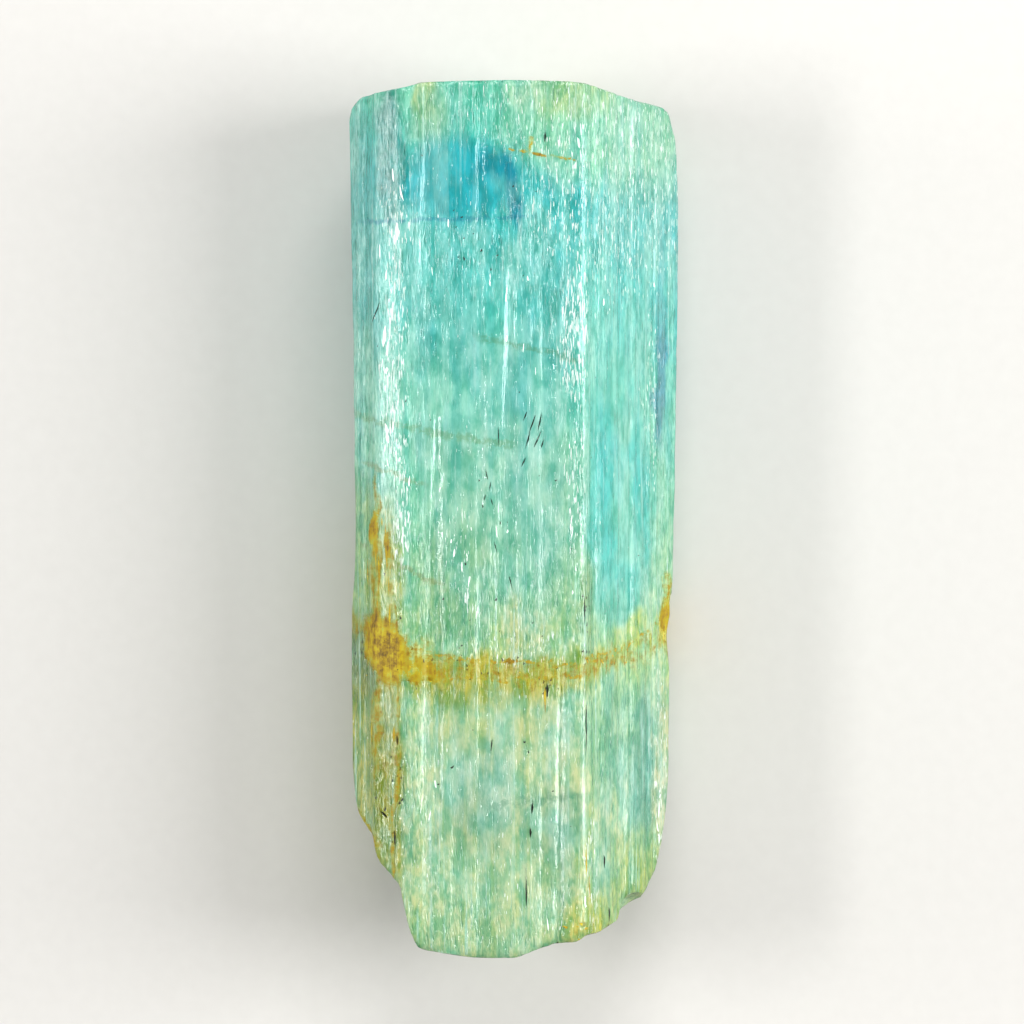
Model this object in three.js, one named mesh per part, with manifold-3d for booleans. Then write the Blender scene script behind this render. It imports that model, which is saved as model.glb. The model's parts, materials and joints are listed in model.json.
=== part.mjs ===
// A single natural aquamarine (beryl) crystal: one solid, lying on the flat prism face at its back.
// Millimetres. +Y runs up the crystal's long c axis, +X across its broad front face, +Z out of that face.
// The origin is under the middle of the crystal, on the surface that it rests on.
//
// The body is what three simple forms have in common: a ridged prism along Y, the outline seen from
// the front, and a turned form whose domed ends wear the prism's ends round. Growth steps and small
// worn hollows are then taken off its faces and edges.

import * as THREE from "three";
import { mergeVertices } from "three/addons/utils/BufferGeometryUtils.js";
import Module from "manifold-3d";

// Driving dimensions, mm and degrees
const LENGTH = 64; // along the c axis, end to end
const DEPTH = 17; // from the resting face to the front face
const PRISM_ANGLE = 60; // between one prism face and the next
const FRONT_LEFT = -8.3; // the front face's long edges
const FRONT_RIGHT = 5.1;
const BEVEL_RUN = 1.8; // the narrow face between the front face and the left face, seen from the front
const BEVEL_ANGLE = 30;
const LEFT_SIDE = -12.3; // the narrow upright faces at the prism's left and right
const LEFT_SIDE_HEIGHT = 3.6;
const RIGHT_SIDE = 12.35;
const RIGHT_SIDE_HEIGHT = 1.8;
const CORNER_WEAR = 0.35; // how far back from each long edge the wear starts
const RIDGE_PITCH = 1.3; // growth ridges across a prism face
const RIDGE_HEIGHT = 0.09;
const RIDGE_STEEP = 0.12; // share of a ridge's pitch that its steep side takes
const RIDGE_CREST = 0.2; // share of its depth that is left at the top of the steep side
const RIDGE_DRIFT = 0.3; // how far a ridge wanders from even spacing, in pitches
const OVERRUN = 3; // how far each form runs past the body that it cuts
const CURVE_STEPS = 3; // straight steps in each span of a curved outline

const COLOUR = 0x83cdbf;
const ROUGHNESS = 0.22;

const HALF = LENGTH / 2;
const SLOPE = Math.tan(THREE.MathUtils.degToRad(PRISM_ANGLE));
const BEVEL_SLOPE = Math.tan(THREE.MathUtils.degToRad(BEVEL_ANGLE));

// The turned form's domed ends: radii along X, Y and Z, and where each dome's tip stands over X and Z
const TOP_DOME = { rise: 3.2, reach: [20, 19], tip: [-0.5, 11.4] };
const ROOT_DOME = { rise: 19, reach: [20.5, 19], tip: [-1.4, 14.6] };
const DOME_SIDES = 48;
const DOME_RINGS = 12;

// Shallow hollows worn into the edges: centre, and radii along X, Y and Z
const CHIPS = [
  { at: [12.5, -5.9, 3.9], radii: [0.95, 0.9, 1.9] },
  { at: [13, 12.5, 4.4], radii: [0.95, 1.6, 1.4] },
  { at: [13, 22.4, 3.2], radii: [1, 1.1, 1.6] },
  { at: [-12.6, -1.6, 11.6], radii: [0.95, 1.3, 1.6] },
  { at: [-12.8, 17.5, 12.2], radii: [1, 2.2, 1.3] },
  { at: [-8.7, 32.5, 17.4], radii: [2.4, 1.3, 1.6] },
  { at: [8.8, 32.5, 9.4], radii: [2, 1.7, 2.2] },
  { at: [-3.5, 32.9, 18.1], radii: [3.2, 1.6, 1.7] },
  { at: [3.6, -32.1, 17.9], radii: [2.8, 1.8, 1.9] },
  { at: [-6.6, -31.6, 18.2], radii: [2.6, 2, 1.5] },
  { at: [9.3, -29, 10.6], radii: [1.8, 1.5, 2.6] },
  { at: [3.4, -34.2, 6.2], radii: [5.2, 4.6, 5.6] },
  { at: [-7.4, -30.4, 5.2], radii: [2.8, 2.4, 2.6] },
  { at: [10.4, 30.7, 1.2], radii: [2.2, 1.5, 2] },
  { at: [-10, 30.9, 7.4], radii: [2.1, 1.2, 2.2] },
];
const CHIP_SIDES = 16;
const CHIP_RINGS = 10;

// Growth steps: a prism face stands a little lower beyond the step. Each is a thin slab that is taken
// off the front face, from one X to another and from one Y to another, with an end that runs out.
const GROWTH_STEPS = [
  { across: [-6.9, -5.2], along: [-21, 9], depth: 0.1 },
  { across: [-1.6, 0.2], along: [-12, 19], depth: 0.06 },
  { across: [2.7, 3.6], along: [-40, -6], depth: 0.14 },
];
const STEP_TAPER = 0.55; // how much of its width a growth step keeps at its narrow end

const wasm = await Module();
wasm.setup();

const v2 = (x, y) => new THREE.Vector2(x, y);

// The prism's long edges in the section across the c axis, anticlockwise from the resting face.
// x is X, y is Z.
function prismEdges() {
  const bevelEdge = v2(FRONT_LEFT - BEVEL_RUN, DEPTH - BEVEL_RUN * BEVEL_SLOPE);
  const leftHigh = v2(LEFT_SIDE, bevelEdge.y - (bevelEdge.x - LEFT_SIDE) * SLOPE);
  const leftLow = v2(LEFT_SIDE, leftHigh.y - LEFT_SIDE_HEIGHT);
  const rightHigh = v2(RIGHT_SIDE, DEPTH - (RIGHT_SIDE - FRONT_RIGHT) * SLOPE);
  const rightLow = v2(RIGHT_SIDE, rightHigh.y - RIGHT_SIDE_HEIGHT);
  const restLeft = v2(LEFT_SIDE + leftLow.y / SLOPE, 0);
  const restRight = v2(RIGHT_SIDE - rightLow.y / SLOPE, 0);
  const front = [v2(FRONT_RIGHT, DEPTH), v2(FRONT_LEFT, DEPTH)];
  return [restLeft, restRight, rightLow, rightHigh, ...front, bevelEdge, leftHigh, leftLow];
}

// Points from a to b with low growth ridges: each rises steeply and falls away slowly, and no two are alike.
function ridgedFace(a, b, phase) {
  const along = b.clone().sub(a);
  const inward = v2(-along.y, along.x).normalize();
  const count = Math.max(1, Math.round(along.length() / RIDGE_PITCH));
  const points = [];
  for (let i = 1; i < count; i++) {
    const share = (i + RIDGE_DRIFT * Math.sin(2.3 * i + phase)) / count;
    const depth = RIDGE_HEIGHT * (1 + Math.sin(1.7 * i + phase));
    const foot = a.clone().lerp(b, share);
    const crest = foot.clone().addScaledVector(along, RIDGE_STEEP / count);
    points.push(foot.addScaledVector(inward, depth));
    points.push(crest.addScaledVector(inward, RIDGE_CREST * depth));
  }
  return points;
}

// A worn edge in the section: the two points either side of it, and one a little inside it.
function wornEdge(edge, before, after) {
  const start = edge.clone().add(before.clone().sub(edge).setLength(CORNER_WEAR));
  const end = edge.clone().add(after.clone().sub(edge).setLength(CORNER_WEAR));
  const middle = start.clone().add(end).multiplyScalar(0.25).addScaledVector(edge, 0.5);
  return [start, middle, end];
}

function sectionShape() {
  const edges = prismEdges();
  const at = (i) => edges[(i + edges.length) % edges.length];
  const worn = edges.map((edge, i) => wornEdge(edge, at(i - 1), at(i + 1)));
  const points = edges.flatMap((edge, i) => {
    const next = worn[(i + 1) % edges.length];
    // the resting face has no ridges, so that it lies flat
    const ridges = i === 0 ? [] : ridgedFace(worn[i][2], next[0], i);
    return [...worn[i], ...ridges];
  });
  return new THREE.Shape(points);
}

// Outline seen from the front: x is X, y is Y. The lower left corner has broken away in two steps.
function frontShape() {
  const shape = new THREE.Shape();
  shape.moveTo(-12.15, 28.4);
  shape.splineThru([v2(-12.05, 29.9), v2(-11.2, 30.85)]);
  shape.splineThru([v2(-8, 31.35), v2(-6, 31.85), v2(-2.5, HALF), v2(2, 31.95), v2(5.6, 31.6)]);
  shape.splineThru([v2(8.6, 30.95), v2(10.8, 30.65)]);
  shape.splineThru([v2(11.5, 30.2), v2(11.75, 29.3), v2(12, 28.5)]);
  shape.splineThru([v2(12.2, 26), v2(12.3, 20), v2(12.05, 8), v2(11.9, -3), v2(11.8, -5.5)]);
  shape.lineTo(11.55, -5.95);
  shape.splineThru([v2(11.65, -7), v2(11.4, -8.8), v2(11.65, -11)]);
  shape.splineThru([v2(11.6, -16), v2(11.45, -20), v2(11.1, -23.4), v2(10.45, -26.1)]);
  shape.lineTo(10.1, -26.7);
  shape.splineThru([v2(9.35, -28), v2(7.9, -29.3), v2(6, -30.2)]);
  shape.lineTo(5.2, -30.25);
  shape.lineTo(4.5, -30.7);
  shape.splineThru([v2(2.7, -30.9), v2(0.4, -31.75), v2(-1, -HALF)]);
  shape.lineTo(-4.8, -HALF);
  shape.splineThru([v2(-6.6, -31.5), v2(-7.5, -30.3), v2(-8, -28.6), v2(-8.35, -26.6)]);
  shape.splineThru([v2(-8.9, -25.95), v2(-9.7, -25.1), v2(-10.1, -24.3), v2(-10.2, -23.1)]);
  shape.splineThru([v2(-10.9, -22.3), v2(-11.5, -21.1), v2(-11.75, -19.3)]);
  const leftSide = [v2(-11.95, -13), v2(-11.95, -7), v2(-11.7, -2), v2(-11.75, 8), v2(-12, 20)];
  shape.splineThru([...leftSide, v2(-12.15, 28.4)]);
  return shape;
}

function stepShape({ across, along }) {
  const [left, right] = across;
  const [low, high] = along;
  const narrow = left + (right - left) * STEP_TAPER;
  const shape = new THREE.Shape([v2(left, low), v2(right, low), v2(right, (low + high) / 2)]);
  shape.splineThru([v2(right - 0.1, high - 3), v2((narrow + right) / 2, high)]);
  shape.splineThru([v2(narrow, high - 4), v2(left, low)]);
  return shape;
}

function solidOf(geometry) {
  const bare = geometry.index ? geometry.toNonIndexed() : geometry.clone();
  bare.deleteAttribute("normal");
  bare.deleteAttribute("uv");
  const merged = mergeVertices(bare, 1e-4);
  const vertProperties = merged.attributes.position.array;
  const triVerts = new Uint32Array(merged.index.array);
  return new wasm.Manifold(new wasm.Mesh({ numProp: 3, vertProperties, triVerts }));
}

function extruded(shape, depth) {
  return new THREE.ExtrudeGeometry(shape, { depth, bevelEnabled: false, curveSegments: CURVE_STEPS });
}

function prismBody() {
  const along = LENGTH + 2 * OVERRUN;
  return solidOf(extruded(sectionShape(), along).rotateX(Math.PI / 2).translate(0, along / 2, 0));
}

function frontForm() {
  return solidOf(extruded(frontShape(), DEPTH + 2 * OVERRUN).translate(0, 0, -OVERRUN));
}

// One end of the crystal: a dome with its tip at the crystal's end, and a straight side past the far end.
// end is 1 for the top and -1 for the root.
function domedForm({ rise, reach, tip }, end) {
  const profile = [v2(0, -HALF - OVERRUN), v2(1, -HALF - OVERRUN)];
  for (let i = 0; i <= DOME_RINGS; i++) {
    const turn = ((Math.PI / 2) * i) / DOME_RINGS;
    profile.push(v2(Math.cos(turn), HALF - rise + rise * Math.sin(turn)));
  }
  profile[profile.length - 1].x = 0;
  const turned = new THREE.LatheGeometry(profile, DOME_SIDES).scale(reach[0], 1, reach[1]);
  if (end < 0) turned.rotateX(Math.PI);
  return solidOf(turned.translate(tip[0], 0, tip[1]));
}

function chipForm({ at, radii }) {
  return solidOf(new THREE.SphereGeometry(1, CHIP_SIDES, CHIP_RINGS).scale(...radii).translate(...at));
}

function stepForm(step) {
  return solidOf(extruded(stepShape(step), OVERRUN).translate(0, 0, DEPTH - RIDGE_HEIGHT - step.depth));
}

// Brings the middle of the crystal's box over the origin, and its resting face down to it.
function overOrigin(geometry) {
  geometry.computeBoundingBox();
  const { min, max } = geometry.boundingBox;
  geometry.translate(-(min.x + max.x) / 2, -(min.y + max.y) / 2, -min.z);
  geometry.computeVertexNormals();
  return geometry;
}

function crystalGeometry() {
  let body = prismBody().intersect(frontForm());
  body = body.intersect(domedForm(TOP_DOME, 1)).intersect(domedForm(ROOT_DOME, -1));
  for (const step of GROWTH_STEPS) body = body.subtract(stepForm(step));
  for (const chip of CHIPS) body = body.subtract(chipForm(chip));
  const { vertProperties, triVerts } = body.getMesh();
  const geometry = new THREE.BufferGeometry();
  geometry.setAttribute("position", new THREE.BufferAttribute(vertProperties, 3));
  geometry.setIndex(new THREE.BufferAttribute(triVerts, 1));
  return overOrigin(geometry);
}

const crystal = new THREE.Mesh(
  crystalGeometry(),
  new THREE.MeshStandardMaterial({ color: COLOUR, roughness: ROUGHNESS, metalness: 0 }),
);
crystal.name = "crystal";

const part = new THREE.Group();
part.add(crystal);

export default part;
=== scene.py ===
import json
import math
import random

import bpy
import numpy as np
from mathutils import Matrix, Vector, noise

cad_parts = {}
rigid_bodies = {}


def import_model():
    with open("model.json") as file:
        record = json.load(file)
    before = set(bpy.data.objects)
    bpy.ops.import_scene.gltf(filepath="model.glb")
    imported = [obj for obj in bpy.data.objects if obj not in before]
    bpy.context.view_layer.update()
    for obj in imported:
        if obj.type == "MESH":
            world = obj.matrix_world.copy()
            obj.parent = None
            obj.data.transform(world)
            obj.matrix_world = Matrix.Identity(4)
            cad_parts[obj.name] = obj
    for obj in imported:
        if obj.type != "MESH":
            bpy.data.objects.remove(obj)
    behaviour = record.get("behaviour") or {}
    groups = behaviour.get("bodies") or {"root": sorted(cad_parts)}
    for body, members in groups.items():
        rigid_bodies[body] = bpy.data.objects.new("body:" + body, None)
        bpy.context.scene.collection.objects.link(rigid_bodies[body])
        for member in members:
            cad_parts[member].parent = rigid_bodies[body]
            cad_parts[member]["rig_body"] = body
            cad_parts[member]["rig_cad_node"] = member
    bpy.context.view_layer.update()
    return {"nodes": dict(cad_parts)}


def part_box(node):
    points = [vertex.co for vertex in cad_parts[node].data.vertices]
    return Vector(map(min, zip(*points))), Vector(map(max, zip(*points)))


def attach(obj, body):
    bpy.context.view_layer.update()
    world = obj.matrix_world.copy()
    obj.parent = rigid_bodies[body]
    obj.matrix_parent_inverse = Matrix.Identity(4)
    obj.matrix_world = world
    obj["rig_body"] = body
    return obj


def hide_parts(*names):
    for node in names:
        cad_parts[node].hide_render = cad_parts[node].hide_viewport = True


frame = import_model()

mm = 0.001
noise.seed_set(12)  # the same noise at every run

# everything is placed from the crystal's own box: across and along run from -1 to 1, up from 0 to 1
boxLow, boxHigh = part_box("crystal")
boxMiddle = (boxLow + boxHigh) / 2
boxHalf = (boxHigh - boxLow) / 2


def spot(across, along, up):
    x = boxMiddle.x + across * boxHalf.x
    y = boxMiddle.y + along * boxHalf.y
    return Vector((x, y, boxLow.z + up * 2 * boxHalf.z))


def hexColour(text):  # the six-figure code of a colour picker, as the linear colour that a socket takes
    parts = [int(text[i:i + 2], 16) / 255 for i in (0, 2, 4)]
    linear = [p / 12.92 if p <= 0.04045 else ((p + 0.055) / 1.055) ** 2.4 for p in parts]
    return (*linear, 1)


# small helpers for work done by operators

def deselectAll():
    if bpy.context.object and bpy.context.object.mode != "OBJECT":
        bpy.ops.object.mode_set(mode="OBJECT")
    bpy.ops.object.select_all(action="DESELECT")


def pick(thing):
    deselectAll()
    thing.select_set(True)
    bpy.context.view_layer.objects.active = thing


def selectPoints(thing, wanted):  # wanted has a yes or no for each point. The thing is left in edit mode
    pick(thing)
    bpy.ops.object.mode_set(mode="EDIT")
    bpy.ops.mesh.select_all(action="DESELECT")
    bpy.ops.object.mode_set(mode="OBJECT")
    for point, choice in zip(thing.data.vertices, wanted):
        point.select = bool(choice)
    bpy.ops.object.mode_set(mode="EDIT")


def applyModifier(thing, kind, **settings):
    pick(thing)
    modifier = thing.modifiers.new(kind.title(), kind)
    for name, value in settings.items():
        setattr(modifier, name, value)
    bpy.ops.object.modifier_apply(modifier=modifier.name)


# camera and lights

cameraSet = {
    "lens": 200,  # mm
    "filled": 0.848,  # how much of the picture's height the crystal takes
    "aim": (-0.02, 0.016),  # what the middle of the picture is over, across and along
    "plane": 0.6,  # how far up the crystal its outline is widest
}


def makeCamera():
    data = bpy.data.cameras.new("camera")
    data.lens = cameraSet["lens"]
    camera = bpy.data.objects.new("camera", data)
    bpy.context.scene.collection.objects.link(camera)
    seen = 2 * boxHalf.y / cameraSet["filled"]
    distance = seen * data.lens / data.sensor_width
    camera.location = spot(*cameraSet["aim"], cameraSet["plane"]) + Vector((0, 0, distance))
    data.clip_start = 0.01
    bpy.context.scene.camera = camera


softboxes = {
    "leftBox": {"from": (-0.36, 0.01, 0.33), "size": (0.14, 0.05), "watts": 0.66},
    "leftFill": {"from": (-0.5, 0.03, 0.16), "size": (0.2, 0.2), "watts": 0.75},
    "rightBox": {"from": (0.40, 0.02, 0.26), "size": (0.2, 0.4), "watts": 2.12},
    "topBox": {"from": (0.04, 0.42, 0.40), "size": (0.3, 0.2), "watts": 1.4},
}
roomLight = 0.395


def makeLights():
    for name, box in softboxes.items():
        data = bpy.data.lights.new(name, "AREA")
        data.shape = "RECTANGLE"
        data.size, data.size_y = box["size"]
        data.energy = box["watts"]
        lamp = bpy.data.objects.new(name, data)
        bpy.context.scene.collection.objects.link(lamp)
        lamp.location = box["from"]
        lamp.rotation_euler = (-Vector(box["from"])).to_track_quat("-Z", "Y").to_euler()
    world = bpy.data.worlds.new("room")
    bpy.context.scene.world = world
    world.use_nodes = True
    world.node_tree.nodes["Background"].inputs["Color"].default_value = hexColour("ffffff")
    world.node_tree.nodes["Background"].inputs["Strength"].default_value = roomLight


makeCamera()
makeLights()
bpy.context.scene.view_settings.view_transform = "Standard"
bpy.context.scene.view_settings.look = "Medium High Contrast"
print("camera and lights are set")


# node helpers

def addNode(tree, kind, values=None, **settings):
    node = tree.nodes.new(kind)
    for name, value in settings.items():
        setattr(node, name, value)
    for name, value in (values or {}).items():
        feed(tree, node.inputs[name], value)
    return node


def feed(tree, socket, value):  # links another node's socket, or sets a number or a colour's code
    if isinstance(value, bpy.types.NodeSocket):
        tree.links.new(value, socket)
    else:
        socket.default_value = hexColour(value) if isinstance(value, str) else value


def calc(tree, operation, *values, clamp=False):
    node = addNode(tree, "ShaderNodeMath", dict(enumerate(values)), operation=operation, use_clamp=clamp)
    return node.outputs[0]


def vectorCalc(tree, operation, first, second):
    return addNode(tree, "ShaderNodeVectorMath", {0: first, 1: second}, operation=operation).outputs[0]


def combine(tree, x, y, z):
    return addNode(tree, "ShaderNodeCombineXYZ", {0: x, 1: y, 2: z}).outputs[0]


def cloudy(tree, place, scale, detail, roughness=0.5):
    values = {"Vector": place, "Scale": scale, "Detail": detail, "Roughness": roughness}
    return addNode(tree, "ShaderNodeTexNoise", values).outputs["Fac"]


def mixColour(tree, share, under, over, blend="MIX"):
    node = addNode(tree, "ShaderNodeMix", data_type="RGBA", blend_type=blend)
    feed(tree, node.inputs[0], share)
    feed(tree, node.inputs[6], under)
    feed(tree, node.inputs[7], over)
    return node.outputs[2]


def smooth(tree, value, start, end, low=0.0, high=1.0):
    values = {0: value, 1: start, 2: end, 3: low, 4: high}
    return addNode(tree, "ShaderNodeMapRange", values, interpolation_type="SMOOTHSTEP").outputs[0]


def ramp(tree, value, stops):
    node = addNode(tree, "ShaderNodeValToRGB", {0: value})
    marks = node.color_ramp.elements
    while len(marks) < len(stops):
        marks.new(0.5)
    for mark, (place, code) in zip(marks, stops):
        mark.position = place
        mark.color = hexColour(code)
    return node.outputs["Color"]


def newGroup(name, inputs, outputs):
    group = bpy.data.node_groups.new(name, "ShaderNodeTree")
    for label, kind in inputs.items():
        group.interface.new_socket(label, in_out="INPUT", socket_type="NodeSocket" + kind)
    for label, kind in outputs.items():
        group.interface.new_socket(label, in_out="OUTPUT", socket_type="NodeSocket" + kind)
    return group, group.nodes.new("NodeGroupInput").outputs, group.nodes.new("NodeGroupOutput").inputs


def useGroup(tree, group, **values):
    node = addNode(tree, "ShaderNodeGroup", node_tree=group)
    for name, value in values.items():
        feed(tree, node.inputs[name], value)
    return node.outputs


def newMaterial(name):
    material = bpy.data.materials.new(name)
    material.use_nodes = True
    tree = material.node_tree
    shader = tree.nodes["Principled BSDF"]
    place = addNode(tree, "ShaderNodeTexCoord").outputs["Object"]
    return material, tree, shader, place


# effects that several finishes share

def makeGrainGroup():  # streaks along the crystal: pitch is their width in mm, stretch their length over it
    inputs = {"Vector": "Vector", "Pitch": "Float", "Stretch": "Float", "Detail": "Float", "Seed": "Float"}
    group, given, result = newGroup("lengthwiseGrain", inputs, {"Streaks": "Float"})
    finer = calc(group, "DIVIDE", 1 / mm, given["Pitch"])
    along = calc(group, "DIVIDE", finer, given["Stretch"])
    squeezed = vectorCalc(group, "MULTIPLY", given["Vector"], combine(group, finer, along, finer))
    moved = vectorCalc(group, "ADD", squeezed, combine(group, *[given["Seed"]] * 3))
    feed(group, result["Streaks"], cloudy(group, moved, 1.0, given["Detail"], 0.55))
    return group


def makeSpeckleGroup():  # ragged specks: size is in mm, and cover is the share of the surface that they take
    inputs = {"Vector": "Vector", "Size": "Float", "Cover": "Float"}
    group, given, result = newGroup("speckle", inputs, {"Mask": "Float"})
    finer = calc(group, "DIVIDE", 1 / mm, given["Size"])
    rough = cloudy(group, given["Vector"], finer, 4.0, 0.7)
    bar = calc(group, "SUBTRACT", 0.78, calc(group, "MULTIPLY", given["Cover"], 0.56))
    feed(group, result["Mask"], smooth(group, calc(group, "SUBTRACT", rough, bar), -0.03, 0.05))
    return group


def makeRaggedGroup():  # noise that cross lines share: how far they wander, and where they fade
    group, given, result = newGroup("raggedness", {"Vector": "Vector"}, {"Waves": "Float", "Gaps": "Float"})
    feed(group, result["Waves"], cloudy(group, given["Vector"], 700.0, 5.0, 0.65))
    feed(group, result["Gaps"], cloudy(group, given["Vector"], 1900.0, 4.0, 0.7))
    return group


# a thin ragged line across the crystal, in mm: where it is along, how it slopes and bows, how wide it is,
# how far it wanders, and where across it starts and ends
def makeCrossLineGroup():
    numbers = ("Waves", "Gaps", "Along", "Slope", "Bow", "Width", "Wander", "From", "To")
    inputs = {"Vector": "Vector", **dict.fromkeys(numbers, "Float")}
    group, given, result = newGroup("crossLine", inputs, {"Mask": "Float"})
    inMm = vectorCalc(group, "MULTIPLY", given["Vector"], (1 / mm,) * 3)
    x, y, _ = addNode(group, "ShaderNodeSeparateXYZ", {0: inMm}).outputs
    middle = calc(group, "MULTIPLY_ADD", given["Slope"], x, given["Along"])
    middle = calc(group, "MULTIPLY_ADD", given["Bow"], calc(group, "MULTIPLY", x, x), middle)
    waves = calc(group, "SUBTRACT", given["Waves"], 0.5)
    middle = calc(group, "MULTIPLY_ADD", waves, given["Wander"], middle)
    off = calc(group, "ABSOLUTE", calc(group, "SUBTRACT", y, middle))
    width = calc(group, "MULTIPLY", given["Width"], smooth(group, given["Gaps"], 0.35, 0.62, 0.35, 1.25))
    line = calc(group, "SUBTRACT", 1.0, smooth(group, calc(group, "DIVIDE", off, width), 0.2, 1.0))
    starts = smooth(group, calc(group, "SUBTRACT", x, given["From"]), -0.6, 0.9)
    ends = smooth(group, calc(group, "SUBTRACT", given["To"], x), -0.6, 0.9)
    faded = calc(group, "MULTIPLY", line, smooth(group, given["Gaps"], 0.36, 0.54, 0.2, 1.0))
    feed(group, result["Mask"], calc(group, "MULTIPLY", faded, calc(group, "MULTIPLY", starts, ends)))
    return group


def crossLine(tree, place, ragged, line):
    names = ("Along", "Slope", "Bow", "Width", "Wander", "From", "To")
    given = {"Vector": place, "Waves": ragged["Waves"], "Gaps": ragged["Gaps"], **dict(zip(names, line))}
    return useGroup(tree, crossLineGroup, **given)["Mask"]


grainGroup = makeGrainGroup()
speckleGroup = makeSpeckleGroup()
raggedGroup = makeRaggedGroup()
crossLineGroup = makeCrossLineGroup()


def grain(tree, place, pitch, stretch, detail, seed):
    given = {"Vector": place, "Pitch": pitch, "Stretch": stretch, "Detail": detail, "Seed": seed}
    return useGroup(tree, grainGroup, **given)["Streaks"]


def speckle(tree, place, size, cover):
    return useGroup(tree, speckleGroup, Vector=place, Size=size, Cover=cover)["Mask"]


# the body

bodyShape = {
    "voxel": 0.165 * mm,
    "squeeze": 0.33,  # the body is shortened this much for the remesh, which makes its faces long and thin
    "restDepth": 0.1 * mm,  # what lies lower than this is laid flat
    "endCalm": 0.7,  # how much less relief the ends get
    "smoothAngle": 40,
}

# growth and wear on the body's faces: width and height in mm, stretch is length over width, and zero is
# the part of the height that goes inwards
bodyRelief = {
    "swell": {"basis": "IMPROVED_PERLIN", "width": 4.2, "stretch": 5, "height": 0.3, "zero": 0.45},
    "ridges": {"hard": True, "width": 1.1, "stretch": 20, "height": 0.16, "zero": 0.4},
    "striae": {"hard": True, "width": 0.5, "stretch": 11, "height": 0.1, "zero": 0.5},
    "pits": {"basis": "VORONOI_F1", "width": 0.75, "stretch": 2.6, "height": 0.08, "zero": 0.8},
}


def cadCopy(name):  # the CAD crystal as a mesh of its own, with its shared points merged
    source = frame["nodes"]["crystal"]
    twin = source.copy()
    twin.data = source.data.copy()
    twin.name = name
    twin.parent = None
    twin.hide_viewport = False
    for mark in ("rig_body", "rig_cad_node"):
        del twin[mark]
    bpy.context.scene.collection.objects.link(twin)
    pick(twin)
    bpy.ops.object.mode_set(mode="EDIT")
    bpy.ops.mesh.select_all(action="SELECT")
    bpy.ops.mesh.remove_doubles(threshold=0.001 * mm)
    bpy.ops.object.mode_set(mode="OBJECT")
    return twin


def resizeAll(thing, factors, centre):
    pick(thing)
    bpy.ops.object.mode_set(mode="EDIT")
    bpy.ops.mesh.select_all(action="SELECT")
    bpy.ops.transform.resize(value=factors, center_override=centre)
    bpy.ops.object.mode_set(mode="OBJECT")


def displace(thing, name, pattern, widths, place, **settings):  # widths and place are those of the pattern
    texture = bpy.data.textures.new(name, "CLOUDS")
    texture.noise_scale = 1
    for key, value in pattern.items():
        setattr(texture, key, value)
    ruler = bpy.data.objects.new(name, None)
    ruler.scale = widths
    ruler.location = place
    bpy.context.scene.collection.objects.link(ruler)
    bpy.context.view_layer.update()
    settings.update(texture=texture, texture_coords="OBJECT", texture_coords_object=ruler)
    applyModifier(thing, "DISPLACE", **settings)
    bpy.data.objects.remove(ruler)


def roughenBody(body, name, layer):
    kind = "HARD_NOISE" if layer.get("hard") else "SOFT_NOISE"
    pattern = {"noise_basis": layer.get("basis", "ORIGINAL_PERLIN"), "noise_type": kind, "noise_depth": 2}
    width = layer["width"] * mm
    settings = {"strength": layer["height"] * mm, "mid_level": layer["zero"]}
    settings.update(vertex_group="quiet", invert_vertex_group=True)
    displace(body, name, pattern, (width, width * layer["stretch"], width), (0, 0, 0), **settings)


def makeBody():
    body = cadCopy("crystalBody")
    squeeze = bodyShape["squeeze"]
    resizeAll(body, (1, squeeze, 1), (0, 0, 0))
    applyModifier(body, "REMESH", mode="VOXEL", voxel_size=bodyShape["voxel"])
    resizeAll(body, (1, 1 / squeeze, 1), (0, 0, 0))
    quiet = body.vertex_groups.new(name="quiet")
    for point in body.data.vertices:
        calm = 1 if point.co.z < bodyShape["restDepth"] else bodyShape["endCalm"] * abs(point.normal.y)
        if calm > 0.01:
            quiet.add([point.index], calm, "REPLACE")
    for name, layer in bodyRelief.items():
        roughenBody(body, name, layer)
    selectPoints(body, [point.co.z < bodyShape["restDepth"] for point in body.data.vertices])
    bpy.ops.transform.resize(value=(1, 1, 0), center_override=(0, 0, boxLow.z))
    bpy.ops.object.mode_set(mode="OBJECT")
    pick(body)
    bpy.ops.object.shade_smooth_by_angle(angle=math.radians(bodyShape["smoothAngle"]))
    return body


body = makeBody()
print("body:", len(body.data.polygons), "faces")


# colour zones, clouds and stains, painted on the body's points. Each patch has its middle and reach as
# (across, along) and its turn in degrees. Where it doesn't go all through the crystal, "up" is how far up
# its middle is, and how far it reaches from there

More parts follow.
